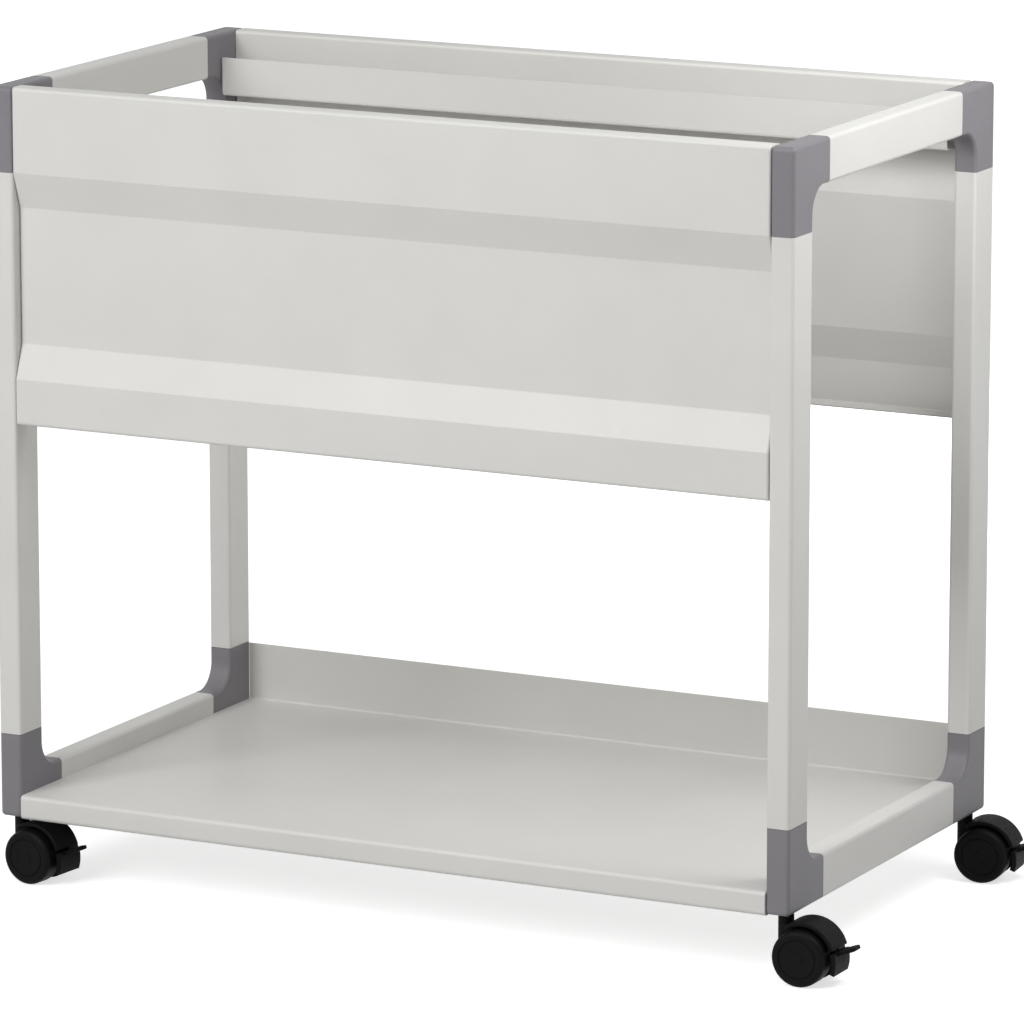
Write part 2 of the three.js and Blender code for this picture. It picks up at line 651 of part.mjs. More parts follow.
// Brake pedal, drawn with its shoe on the treads and then tipped back by its travel
function pedal() {
  const treadCorner = WHEEL_RADIUS / Math.cos(Math.PI / WHEEL_STEPS);
  const shoeInner = treadCorner + BRAKE_GAP;
  const shoeThickness = HOOD_RADIUS - shoeInner;
  const shoe = alongY(extruded(new THREE.Shape([
    ...arcPoints(0, 0, HOOD_RADIUS, SHOE_BOTTOM_ANGLE, SHOE_TOP_ANGLE, SHOE_STEPS),
    ...arcPoints(0, 0, shoeInner, SHOE_TOP_ANGLE, SHOE_BOTTOM_ANGLE, SHOE_STEPS),
  ]), HOOD_WIDTH)).translate(CASTER_TRAIL, 0, WHEEL_RADIUS);

  const root = THREE.MathUtils.degToRad(SHOE_TOP_ANGLE);
  const rootX = CASTER_TRAIL + shoeInner * Math.cos(root);
  const rootZ = WHEEL_RADIUS + shoeInner * Math.sin(root);
  const tabReach = TAB_LENGTH + shoeThickness;
  const tabOutline = roundedRectangle(tabReach, TAB_WIDTH, TAB_THICKNESS);
  const tab = extruded(tabOutline, TAB_THICKNESS).translate(tabReach / 2, 0, -TAB_THICKNESS / 2);
  tab.rotateY(-THREE.MathUtils.degToRad(TAB_RISE)).translate(rootX, 0, rootZ);

  const web = alongY(extruded(new THREE.Shape([
    new THREE.Vector2(PIVOT_X, PIVOT_Z - PIVOT_BOSS),
    new THREE.Vector2(rootX + shoeThickness / 2, rootZ - 2 * TAB_THICKNESS),
    new THREE.Vector2(rootX + shoeThickness / 2, rootZ - TAB_THICKNESS / 2),
    new THREE.Vector2(PIVOT_X, PIVOT_Z + PIVOT_BOSS),
  ]), PEDAL_WEB));
  const boss = rod(PIVOT_BOSS, PEDAL_WEB, SMALL_ROUND_STEPS).translate(PIVOT_X, 0, PIVOT_Z);
  const pin = rod(PIVOT_DIAMETER / 2, HOUSING_WIDTH - 2 * FORK_GAP, SMALL_ROUND_STEPS);
  pin.translate(PIVOT_X, 0, PIVOT_Z);
  const geometry = shaped([shoe, tab, web, boss, pin]).translate(-PIVOT_X, 0, -PIVOT_Z);
  return geometry.rotateY(-THREE.MathUtils.degToRad(BRAKE_TRAVEL)).translate(PIVOT_X, 0, PIVOT_Z);
}

// Assembly

const SIDES = [{ word: 'left', side: -1 }, { word: 'right', side: 1 }];
const ENDS = [{ word: 'front', end: -1 }, { word: 'rear', end: 1 }];

for (const { word: sideWord, side } of SIDES) {
  const shelfHoles = ENDS.map(({ end }) => screwHole(side, end * SHELF_SCREW_Y, SHELF_SCREW_Z));
  addPiece(`top_end_rail_${sideWord}`, endRail(side, TOP_RAIL_Z, []), PAINTED_STEEL);
  addPiece(`bottom_end_rail_${sideWord}`, endRail(side, BOTTOM_RAIL_Z, shelfHoles), PAINTED_STEEL);
  for (const { word: endWord, end } of ENDS) {
    const corner = `${endWord}_${sideWord}`;
    addPiece(`post_${corner}`, post(side, end), PAINTED_STEEL);
    addPiece(`top_corner_${corner}`, connector(side, end, 1), GREY_PLASTIC);
    addPiece(`bottom_corner_${corner}`, connector(side, end, -1), GREY_PLASTIC);
    for (const [level, height] of Object.entries(PANEL_SCREW_HEIGHTS)) {
      addPiece(`panel_screw_${corner}_${level}`, screw(side, end * PANEL_SCREW_Y, height), ZINC_STEEL);
    }
    addPiece(`shelf_screw_${corner}`, screw(side, end * SHELF_SCREW_Y, SHELF_SCREW_Z), ZINC_STEEL);

    const stemMount = new THREE.Group();
    stemMount.position.set(side * END_FRAME_X, end * POST_Y, 0);
    cart.add(stemMount);
    addPiece(`caster_stem_${corner}`, stem(), ZINC_STEEL, stemMount);
    const caster = new THREE.Group();
    caster.rotation.z = THREE.MathUtils.degToRad(CASTER_TURN[corner]);
    stemMount.add(caster);
    addPiece(`caster_housing_${corner}`, housing(), BLACK_PLASTIC, caster);
    addPiece(`caster_axle_${corner}`, axle(), ZINC_STEEL, caster);
    addPiece(`wheel_a_${corner}`, wheel(-1), BLACK_PLASTIC, caster);
    addPiece(`wheel_b_${corner}`, wheel(1), BLACK_PLASTIC, caster);
    addPiece(`brake_pedal_${corner}`, pedal(), BLACK_PLASTIC, caster);
  }
}
for (const { word, end } of ENDS) {
  addPiece(`${word}_panel`, panel(end), PAINTED_STEEL);
  addPiece(`${word}_file_rail`, fileRail(end), PAINTED_STEEL);
}
addPiece('shelf', shelf(), PAINTED_STEEL);

export default cart;
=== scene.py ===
"""Looks of the mobile file cart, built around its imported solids."""

import json
import math

import bmesh
import bpy
from mathutils import Matrix, Vector


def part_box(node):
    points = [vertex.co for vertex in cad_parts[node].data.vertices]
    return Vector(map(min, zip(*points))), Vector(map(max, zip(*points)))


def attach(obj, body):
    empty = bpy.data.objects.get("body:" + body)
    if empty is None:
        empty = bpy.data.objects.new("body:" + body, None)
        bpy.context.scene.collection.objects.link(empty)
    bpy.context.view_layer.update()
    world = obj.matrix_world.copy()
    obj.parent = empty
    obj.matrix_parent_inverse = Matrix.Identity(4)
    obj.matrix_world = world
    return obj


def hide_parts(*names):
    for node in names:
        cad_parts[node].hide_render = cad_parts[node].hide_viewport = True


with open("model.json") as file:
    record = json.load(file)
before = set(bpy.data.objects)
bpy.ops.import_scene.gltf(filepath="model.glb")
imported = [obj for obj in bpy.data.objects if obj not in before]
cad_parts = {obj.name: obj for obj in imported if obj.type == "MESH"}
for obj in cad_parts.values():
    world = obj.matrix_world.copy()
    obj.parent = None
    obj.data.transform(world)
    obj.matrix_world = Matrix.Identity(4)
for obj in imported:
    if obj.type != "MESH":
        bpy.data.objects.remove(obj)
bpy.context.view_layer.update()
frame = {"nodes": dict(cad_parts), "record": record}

# Sizes that the solids share, in metres and radians
MM = 0.001
TUBE_WALL = 1.5 * MM
TUBE_CORNER = 3.5 * MM
CORNER_LEG = 77 * MM
CORNER_ARM = 72.5 * MM
CORNER_FACE = 40 * MM
CORNER_FILLET = 24 * MM
CORNER_NOSE = 4.5 * MM
SHEET = 1.2 * MM
SHEET_BEND = 3.5 * MM
PANEL_HEIGHTS = [77 * MM, 32.5 * MM, 123.5 * MM, 31 * MM]
PANEL_RECESS = 11 * MM
PANEL_DEPTH = 20 * MM
PANEL_LIP = 40 * MM
PANEL_END_BEND = 2 * MM
SHELF_LIP = 20 * MM
SHELF_LIP_RETURN = 12 * MM
SHELF_END_FLANGE = 16 * MM
WHEEL_RADIUS = 25 * MM
WHEEL_WIDTH = 17.5 * MM
WHEEL_TRACK = 15 * MM
WHEEL_SHOULDER = 4 * MM
CASTER_TRAIL = 21.5 * MM
HOUSING_RADIUS = 20 * MM
HOUSING_WIDTH = 14 * MM
HOOD_RADIUS = 31 * MM
HOOD_WALL = 4 * MM
HOOD_WIDTH = 32 * MM
BOSS_TOP = 58.6 * MM
BOSS_BOTTOM = 24.6 * MM
PIVOT_REACH = 19.5 * MM
PIVOT_ANGLE = math.radians(18)
PIVOT_X = CASTER_TRAIL + PIVOT_REACH * math.cos(PIVOT_ANGLE)
PIVOT_Z = WHEEL_RADIUS + PIVOT_REACH * math.sin(PIVOT_ANGLE)
PIVOT_PIN = 2 * MM
PIVOT_LUG = 4.5 * MM
PEDAL_WEB = 4.4 * MM
PEDAL_TRAVEL = math.radians(10)
FORK_GAP = 0.4 * MM
SHOE_INNER = 26.12 * MM
SHOE_THICKNESS = HOOD_RADIUS - SHOE_INNER
TAB_LENGTH = 20.88 * MM
TAB_WIDTH = 16 * MM
TAB_THICKNESS = 3.6 * MM
TAB_RISE = math.radians(11)

# Angles on the casters, in degrees
CASTER_TURN = {"front_right": 0, "front_left": -6, "rear_right": 6, "rear_left": 180}
HOUSING_FRONT_ANGLE = -150
HOOD_REAR_ANGLE = 17
HOOD_FRONT_ANGLE = 122
SHOE_TOP_ANGLE = 8
SHOE_BOTTOM_ANGLE = -30

# Trim that only the looks have, in metres, and the count of ribs
TUBE_END_ROUND = 0.35 * MM
SHEET_RIM = 0.35 * MM
SHELF_END_REACH = 0.5 * MM
FLANGE_RIM = 0.3 * MM
WHEEL_INNER_ROUND = 1 * MM
HOOD_RIM = 1.2 * MM
HOUSING_RIM = 0.6 * MM
CORE_RIM = 0.2 * MM
BOSS_TOP_CHAMFER = 0.8 * MM
BOSS_BOTTOM_CHAMFER = 1 * MM
TAB_RIM = 0.9 * MM
WEB_RIM = 0.4 * MM
PIN_RIM = 0.3 * MM
RIB_COUNT = 3
RIB_PITCH = 3 * MM
RIB_FROM_TIP = 4 * MM
RIB_WIDTH = 1.2 * MM
RIB_CORNER = 0.55 * MM
RIB_SIDE_MARGIN = 2.5 * MM
RIB_RISE = 0.5 * MM
RIB_RIM = 0.25 * MM

# A wheel's outer face, from its shoulder over a ring groove and a dished disc to the hub cap:
# each radius and how deep the face lies there, in millimetres
WHEEL_FACE = [
    (18.2, 0),
    (17.8, 0.3),
    (17.5, 0.9),
    (16.6, 0.9),
    (16.2, 0.35),
    (15.6, 0.15),
    (11, 0.5),
    (5.6, 0.75),
    (5.2, 0.7),
    (4.9, 0.25),
    (4.2, 0.1),
    (0, 0.05),
]

# Smoothness
ARC_STEPS = 8
BEND_STEPS = 6
RIM_STEPS = 3
FINE_RIM_STEPS = 2
CORE_RIM_STEPS = 1
ROUND_STEPS = 96
SMALL_ROUND_STEPS = 32
HOOD_STEPS = 32
SHOE_STEPS = 16
WHEEL_INNER_STEPS = 4
WEB_STEPS = 12
SHARP_ANGLE = math.radians(35)
CUT_EDGE_ANGLE = math.radians(60)
FACE_WEIGHT = 60
WELD_REACH = 0.01 * MM

ENDS = {"front": -1, "rear": 1}
SIDES = {"left": -1, "right": 1}
CORNERS = [(end, side) for end in ENDS for side in SIDES]


# Materials

NOISE_LOW = 0.3
NOISE_HIGH = 0.7
SPECK_COARSENESS = 0.22


def new_material(name):
    material = bpy.data.materials.new(name)
    material.use_nodes = True
    tree = material.node_tree
    shader = tree.nodes["Principled BSDF"]
    return material, tree, shader


def noise_node(tree, scale, detail, roughness=0.5):
    """Noise that sits still on the piece when it moves."""
    place = tree.nodes.new("ShaderNodeTexCoord")
    noise = tree.nodes.new("ShaderNodeTexNoise")
    noise.inputs["Scale"].default_value = scale
    noise.inputs["Detail"].default_value = detail
    noise.inputs["Roughness"].default_value = roughness
    tree.links.new(place.outputs["Object"], noise.inputs["Vector"])
    return noise.outputs["Fac"]


def spread(tree, value, low, high, from_low=NOISE_LOW, from_high=NOISE_HIGH):
    """Stretches a value, most often a noise, to the range from low to high."""
    node = tree.nodes.new("ShaderNodeMapRange")
    node.inputs["From Min"].default_value = from_low
    node.inputs["From Max"].default_value = from_high
    node.inputs["To Min"].default_value = low
    node.inputs["To Max"].default_value = high
    tree.links.new(value, node.inputs["Value"])
    return node.outputs["Result"]


def mixed(tree, share, first, second):
    """Blend from first, a colour or another node's output, to the colour second."""
    node = tree.nodes.new("ShaderNodeMix")
    node.data_type = "RGBA"
    if isinstance(first, tuple):
        node.inputs["A"].default_value = (*first, 1)
    else:
        tree.links.new(first, node.inputs["A"])
    node.inputs["B"].default_value = (*second, 1)
    tree.links.new(share, node.inputs["Factor"])
    return node.outputs["Result"]


def product(tree, first, second):
    node = tree.nodes.new("ShaderNodeMath")
    node.operation = "MULTIPLY"
    tree.links.new(first, node.inputs[0])
    tree.links.new(second, node.inputs[1])
    return node.outputs["Value"]


def edge_mask(tree, radius):
    """Near 1 on outer edges, where the rounded normal leaves the face's own."""
    rounded = tree.nodes.new("ShaderNodeBevel")
    rounded.samples = 4
    rounded.inputs["Radius"].default_value = radius
    face = tree.nodes.new("ShaderNodeNewGeometry")
    likeness = tree.nodes.new("ShaderNodeVectorMath")
    likeness.operation = "DOT_PRODUCT"
    tree.links.new(rounded.outputs["Normal"], likeness.inputs[0])
    tree.links.new(face.outputs["Normal"], likeness.inputs[1])
    return spread(tree, likeness.outputs["Value"], low=1, high=0, from_low=0.8, from_high=0.99)


def bump(tree, height, distance, strength, under=None):
    """A relief with its distance in metres, on top of the relief under it."""
    node = tree.nodes.new("ShaderNodeBump")
    node.inputs["Distance"].default_value = distance
    node.inputs["Strength"].default_value = strength
    tree.links.new(height, node.inputs["Height"])
    if under is not None:
        tree.links.new(under, node.inputs["Normal"])
    return node.outputs["Normal"]


def coated(name, first, second, worn, roughness, grain_scale, grain_depth, specular, edge_radius):
    """Paint or moulded plastic: clouded colour, grain, and edges rubbed by use."""
    material, tree, shader = new_material(name)
    clouds = noise_node(tree, scale=9, detail=4)
    base = mixed(tree, spread(tree, clouds, low=0, high=1), first, second)
    patches = noise_node(tree, scale=60, detail=5, roughness=0.6)
    wear = product(tree, edge_mask(tree, edge_radius), spread(tree, patches, low=0, high=0.6))
    tree.links.new(mixed(tree, wear, base, worn), shader.inputs["Base Color"])
    smooth, rough = roughness
    specks = noise_node(tree, scale=grain_scale * SPECK_COARSENESS, detail=2)
    tree.links.new(spread(tree, specks, low=smooth, high=rough), shader.inputs["Roughness"])
    swell = bump(tree, noise_node(tree, scale=35, detail=2), distance=0.4 * MM, strength=0.12)
    grain = noise_node(tree, scale=grain_scale, detail=2)
    normal = bump(tree, grain, distance=grain_depth, strength=0.35, under=swell)
    tree.links.new(normal, shader.inputs["Normal"])
    shader.inputs["Specular IOR Level"].default_value = specular
    return material


def zinc_plated():
    """Bright plating on the screws, stems and axles."""
    material, tree, shader = new_material("zinc_plated_steel")
    clouds = spread(tree, noise_node(tree, scale=120, detail=4), low=0, high=1)
    base = mixed(tree, clouds, (0.52, 0.52, 0.50), (0.66, 0.66, 0.65))
    tree.links.new(base, shader.inputs["Base Color"])
    specks = noise_node(tree, scale=700, detail=3)
    tree.links.new(spread(tree, specks, low=0.26, high=0.44), shader.inputs["Roughness"])
    normal = bump(tree, noise_node(tree, scale=1500, detail=2), distance=0.05 * MM, strength=0.3)
    tree.links.new(normal, shader.inputs["Normal"])
    shader.inputs["Metallic"].default_value = 1
    return material


MATERIALS = {
    "painted_steel": coated(
        "powder_coated_steel",
        first=(0.625, 0.617, 0.592),
        second=(0.655, 0.648, 0.624),
        worn=(0.74, 0.735, 0.715),
        roughness=(0.40, 0.52),
        grain_scale=1400,
        grain_depth=0.05 * MM,
        specular=0.5,
        edge_radius=1.2 * MM,
    ),
    "grey_plastic": coated(
        "grey_moulded_plastic",
        first=(0.180, 0.172, 0.186),
        second=(0.207, 0.199, 0.213),
        worn=(0.27, 0.26, 0.28),
        roughness=(0.46, 0.60),
        grain_scale=2100,
        grain_depth=0.06 * MM,
        specular=0.4,
        edge_radius=1.5 * MM,
    ),
    "black_plastic": coated(
        "black_moulded_plastic",
        first=(0.0026, 0.0026, 0.0029),
        second=(0.004, 0.004, 0.0044),
        worn=(0.012, 0.012, 0.0125),
        roughness=(0.50, 0.64),
        grain_scale=1900,
        grain_depth=0.05 * MM,
        specular=0.08,
        edge_radius=0.8 * MM,
    ),
    "black_wheel": coated(
        "black_wheel_plastic",
        first=(0.0024, 0.0024, 0.0027),
        second=(0.0036, 0.0036, 0.004),
        worn=(0.01, 0.01, 0.0105),
        roughness=(0.42, 0.56),
        grain_scale=1600,
        grain_depth=0.05 * MM,
        specular=0.08,
        edge_radius=0.8 * MM,
    ),
    "zinc_steel": zinc_plated(),
}


# Mesh helpers

def arc(centre_x, centre_y, radius, start, stop, steps=ARC_STEPS):
    """Points on an arc between two angles in degrees."""
    points = []
    for i in range(steps + 1):
        angle = math.radians(start + (stop - start) * i / steps)
        points.append((centre_x + radius * math.cos(angle), centre_y + radius * math.sin(angle)))
    return points


def circle(centre_x, centre_y, radius):
    return arc(centre_x, centre_y, radius, 0, 360, SMALL_ROUND_STEPS)[:-1]


def rounded_rectangle(width, height, radius):
    right = width / 2 - radius
    top = height / 2 - radius
    return (
        arc(right, top, radius, 0, 90)
        + arc(-right, top, radius, 90, 180)
        + arc(-right, -top, radius, 180, 270)
        + arc(right, -top, radius, 270, 360)
    )


def softened(corners, radius):
    """An open path with a round bend at each inner corner."""
    points = [Vector(corners[0])]
    for before, here, after in zip(corners, corners[1:], corners[2:]):
        here = Vector(here)
        into = (here - Vector(before)).normalized()
        out = (Vector(after) - here).normalized()
        turn = into.angle_signed(out)
        reach = radius * math.tan(abs(turn) / 2)
        start = here - into * reach
        end = here + out * reach
        for i in range(BEND_STEPS + 1):
            share = i / BEND_STEPS
            points.append(start.lerp(here, share).lerp(here.lerp(end, share), share))
    points.append(Vector(corners[-1]))
    return points


def shade_evenly(piece):
    """Lets the large faces keep their own normals next to rounded edges."""
    even = piece.modifiers.new("even shading", "WEIGHTED_NORMAL")
    even.keep_sharp = True
    even.weight = FACE_WEIGHT


def finish_piece(name, mesh, body, slot, nodes):
    """Smooth-shades a mesh, dresses it and lets it stand for CAD nodes."""
    mesh.shade_smooth()
    piece = bpy.data.objects.new(name, mesh)
    bpy.context.scene.collection.objects.link(piece)
    shade_evenly(piece)
    mesh.materials.append(MATERIALS[slot])
    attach(piece, body)
    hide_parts(*nodes)
    return piece


def mesh_of(name, shape):
    """Turns a bmesh into a mesh with outward faces and sharp edges where it bends."""
    bmesh.ops.recalc_face_normals(shape, faces=shape.faces)
    mesh = bpy.data.meshes.new(name)
    shape.to_mesh(mesh)
    shape.free()
    mesh.set_sharp_from_angle(angle=SHARP_ANGLE)
    return mesh


def ring_of(shape, points):
    return [shape.verts.new(point) for point in points]


def bridge(shape, first, second):
    count = len(first)
    for i in range(count):
        j = (i + 1) % count
        shape.faces.new((first[i], first[j], second[j], second[i]))


def add_lathe(shape, profile, place, steps):
    """Adds a closed turned body about the local Z axis; place puts it where it goes."""
    rings = []
    for radius, height in profile:
        corners = arc(0, 0, radius, 0, 360, steps)[:-1] if radius else [(0, 0)]
        rings.append(ring_of(shape, [place @ Vector((x, y, height)) for x, y in corners]))
    for first, second in zip(rings, rings[1:]):
        for i in range(steps):
            j = (i + 1) % steps
            corners = [(first, i), (first, j), (second, j), (second, i)]
            distinct = list(dict.fromkeys(ring[k % len(ring)] for ring, k in corners))
            if len(distinct) > 2:
                shape.faces.new(distinct)


def add_skin(shape, rings):
    """Adds the closed skin through rings of points, flat at the first and the last."""
    for first, second in zip(rings, rings[1:]):
        bridge(shape, first, second)
    shape.faces.new(rings[0])
    shape.faces.new(list(reversed(rings[-1])))


def rim_stations(low, high, radius, steps):
    """Places from low to high, each with the inset that gives both rims a quarter round."""
    rise = []
    for i in range(steps + 1):
        angle = math.pi / 2 * i / steps
        rise.append((radius * (1 - math.cos(angle)), radius * (1 - math.sin(angle))))
    near = [(low + along, inset) for along, inset in rise]
    far = [(high - along, inset) for along, inset in reversed(rise)]
    return near + far


def inset_outline(outline, inset):
    """The closed outline with each side moved inwards."""
    points = [Vector(point) for point in outline]
    following = points[1:] + points[:1]
    area = sum(here.cross(after) for here, after in zip(points, following))
    inward = []
    for here, after in zip(points, following):
        side = (after - here).normalized()
        inward.append(Vector((-side.y, side.x)) * math.copysign(1, area))
    moved = []
    for here, first, second in zip(points, inward[-1:] + inward[:-1], inward):
        moved.append(here + (first + second) * inset / (1 + first.dot(second)))
    return moved


def add_plate(shape, outline, low, high, place, rim, steps=RIM_STEPS):
    """Adds a plate with an outline in local (X, Z) from low to high in Y, its rims rounded."""
    rings = []
    for y, inset in rim_stations(low, high, rim, steps):
        points = inset_outline(outline, inset)
        rings.append(ring_of(shape, [place @ Vector((point.x, y, point.y)) for point in points]))
    add_skin(shape, rings)


# Posts and end rails: the same tube, upright or lying

def tube_piece(node, along):
    """A hollow tube that fills the node's box, along the Z or the Y axis."""
    low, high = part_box(node)
    middle = (low + high) / 2
    size = high - low
    depth, length = (size.y, size.z) if along == "Z" else (size.z, size.y)
    half = length / 2
    shape = bmesh.new()
    rings = []
    outside = rim_stations(-half, half, TUBE_END_ROUND, RIM_STEPS)
    inside = [(half, TUBE_WALL), (-half, TUBE_WALL)]
    for reach, inset in outside + inside:
        section = rounded_rectangle(size.x - 2 * inset, depth - 2 * inset, TUBE_CORNER - inset)
        if along == "Z":
            points = [Vector((x, y, reach)) for x, y in section]
        else:
            points = [Vector((x, reach, z)) for x, z in section]
        rings.append(ring_of(shape, [middle + point for point in points]))
    for first, second in zip(rings, rings[1:] + rings[:1]):
        bridge(shape, first, second)
    finish_piece(node + "_tube", mesh_of(node, shape), "frame", "painted_steel", [node])


for end, side in CORNERS:
    tube_piece(f"post_{end}_{side}", "Z")
for side in SIDES:
    for level in ("top", "bottom"):
        tube_piece(f"{level}_end_rail_{side}", "Y")


# Corner connectors: an L with rounded rims and a round inner corner

def connector_outline(inset):
    """The L seen from the end, its long sides moved inwards, its cut ends in place."""
    fillet_centre = CORNER_FACE + CORNER_FILLET
    return (
        arc(CORNER_NOSE, CORNER_NOSE, CORNER_NOSE - inset, 180, 270)
        + [(CORNER_ARM, inset), (CORNER_ARM, CORNER_FACE - inset)]
        + arc(fillet_centre, fillet_centre, CORNER_FILLET + inset, -90, -180, 2 * ARC_STEPS)
        + [(CORNER_FACE - inset, CORNER_LEG), (inset, CORNER_LEG)]
    )


def connector_piece(level, end, side):
    """The moulding at one corner, drawn from the frame's outer corner inwards."""
    node = f"{level}_corner_{end}_{side}"
    low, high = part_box(node)
    outer_y = low.y if end == "front" else high.y
    outer_z = high.z if level == "top" else low.z
    inward = -ENDS[end]
    away = -1 if level == "top" else 1
    shape = bmesh.new()
    rings = []
    for x, inset in rim_stations(low.x, high.x, TUBE_CORNER, ARC_STEPS):
        points = []
        for along_arm, along_leg in connector_outline(inset):
            points.append((x, outer_y + inward * along_arm, outer_z + away * along_leg))
        rings.append(ring_of(shape, points))
    add_skin(shape, rings)
    finish_piece(node + "_moulding", mesh_of(node, shape), "frame", "grey_plastic", [node])


for end, side in CORNERS:
    for level in ("top", "bottom"):
        connector_piece(level, end, side)


# Folded sheets

def thicken(piece):
    """Gives a sheet its thickness, on its inner side."""
    skin = piece.modifiers.new("sheet thickness", "SOLIDIFY")
    skin.thickness = SHEET
    skin.offset = -1
    skin.use_even_offset = True
    piece.modifiers.move(len(piece.modifiers) - 1, 0)


def round_rim(piece):
    """Rounds a thickened sheet's cut edges."""
    rim = piece.modifiers.new("rolled rim", "BEVEL")
    rim.width = SHEET_RIM
    rim.segments = FINE_RIM_STEPS
    rim.limit_method = "ANGLE"
    rim.angle_limit = CUT_EDGE_ANGLE
    piece.modifiers.move(len(piece.modifiers) - 1, 1)


def join_rows(shape, rows):
    """Adds the faces of an open sheet between rows of points."""
    for first, second in zip(rows, rows[1:]):
        for i in range(len(first) - 1):
            shape.faces.new((first[i], first[i + 1], second[i + 1], second[i]))


def panel_piece(end):
    """A pan pressed in along its middle, its ends bent back, its top edge folded in and down."""
    node = f"{end}_panel"
    low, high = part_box(node)
    face_y = low.y if end == "front" else high.y
    inward = -ENDS[end]
    height = high.z
    corners = [(PANEL_DEPTH, height - PANEL_LIP), (PANEL_DEPTH, height), (0, height)]
    for drop, depth in zip(PANEL_HEIGHTS, (0, PANEL_RECESS, PANEL_RECESS, 0)):
        height -= drop
        corners.append((depth, height))
    corners += [(0, low.z), (PANEL_DEPTH, low.z)]
    path = softened(corners, SHEET_BEND)
    stations = []
    for i in range(ARC_STEPS + 1):
        angle = math.pi / 2 * i / ARC_STEPS
        fall = PANEL_END_BEND * (1 - math.cos(angle))
        x = high.x - PANEL_END_BEND * (1 - math.sin(angle))
        stations.append((x, fall))
        stations.insert(0, (-x, fall))
    shape = bmesh.new()
    rows = []
    for x, fall in stations:
        points = []
        for point in path:
            # Towards the ends the face falls back, while the inner edges keep their depth
            on_face = point.x < PANEL_RECESS + SHEET_BEND
            depth = point.x + fall if on_face else point.x
            points.append((x, face_y + inward * depth, point.y))
        rows.append(ring_of(shape, points))
    join_rows(shape, rows)
    shape.faces.new(rows[0])
    shape.faces.new(list(reversed(rows[-1])))
    piece = finish_piece(node + "_sheet", mesh_of(node, shape), "frame", "painted_steel", [node])
    thicken(piece)


def shelf_piece():
    """A deck with a front lip, a rear upstand and an end flange that shuts the lip.

    Its ends come nearer to the connectors than the solid's, so that no slit shows beside them.
    """
    low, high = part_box("shelf")
    end_x = high.x + SHELF_END_REACH
    deck = low.z + SHELF_LIP
    path = softened([
        (low.y + SHELF_LIP_RETURN, low.z),
        (low.y, low.z),
        (low.y, deck),
        (high.y - SHEET, deck),
        (high.y - SHEET, high.z),
    ], SHEET_BEND)
    shape = bmesh.new()
    rows = [ring_of(shape, [(x, point.x, point.y) for point in path]) for x in (-end_x, end_x)]
    join_rows(shape, rows)
    mesh = mesh_of("shelf", shape)
    piece = finish_piece("shelf_sheet", mesh, "frame", "painted_steel", ["shelf"])
    thicken(piece)
    round_rim(piece)
    front = low.y + SHEET
    lip_back = low.y + SHELF_LIP_RETURN
    back = high.y - SHEET - 2 * SHEET_BEND
    outline = [
        (front, low.z + SHEET),
        (lip_back, low.z + SHEET),
        (lip_back, deck - SHELF_END_FLANGE),
        (back, deck - SHELF_END_FLANGE),
        (back, deck - SHEET),
        (front, deck - SHEET),
    ]
    # The turn lays the outline across the shelf's end, so that local Y counts against world X
    quarter_turn = Matrix.Rotation(math.pi / 2, 4, "Z")
    for side, sign in SIDES.items():
        flange = bmesh.new()
        near, far = sorted((-sign * end_x, -sign * (end_x - SHEET)))
        add_plate(flange, outline, near, far, quarter_turn, FLANGE_RIM, FINE_RIM_STEPS)
        name = f"shelf_flange_{side}"
        finish_piece(name, mesh_of(name, flange), "frame", "painted_steel", ["shelf"])


for end in ENDS:
    panel_piece(end)
shelf_piece()


# Casters, drawn with the stem on the Z axis and the wheels trailing along +X

def caster_place(corner):
    """From the caster as drawn to its corner, turned as in the photograph."""
    low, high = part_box(f"caster_stem_{corner}")
    stem = (low + high) / 2
    turn = Matrix.Rotation(math.radians(CASTER_TURN[corner]), 4, "Z")
    return Matrix.Translation((stem.x, stem.y, 0)) @ turn


def lying(hand):
    """Turns a lathe's Z axis along the axle, outwards for that hand, and puts it at the hub."""
    turn = Matrix.Rotation(-hand * math.pi / 2, 4, "X")
    return Matrix.Translation((CASTER_TRAIL, 0, WHEEL_RADIUS)) @ turn


def wheel_piece(corner, letter, hand):
    """A closed wheel: tread with rounded shoulders, ring groove, dished disc and hub cap."""
    inner = WHEEL_TRACK / 2
    outer = inner + WHEEL_WIDTH
    shoulder = WHEEL_RADIUS - WHEEL_SHOULDER
    inner_round = arc(
        WHEEL_RADIUS - WHEEL_INNER_ROUND,
        inner + WHEEL_INNER_ROUND,
        WHEEL_INNER_ROUND,
        -90,
        0,
        WHEEL_INNER_STEPS,
    )
    outer_round = arc(shoulder, outer - WHEEL_SHOULDER, WHEEL_SHOULDER, 0, 90)
    face = [(radius * MM, outer - depth * MM) for radius, depth in WHEEL_FACE]
    profile = [(0, inner), (shoulder, inner)] + inner_round + outer_round + face
    shape = bmesh.new()
    add_lathe(shape, profile, caster_place(corner) @ lying(hand), ROUND_STEPS)
    node = f"wheel_{letter}_{corner}"
    finish_piece(node + "_disc", mesh_of(node, shape), node, "black_wheel", [node])


def hub_arc(radius, start, stop, steps):
    """An arc about the wheels' axle, seen from the side."""
    return arc(CASTER_TRAIL, WHEEL_RADIUS, radius, start, stop, steps)


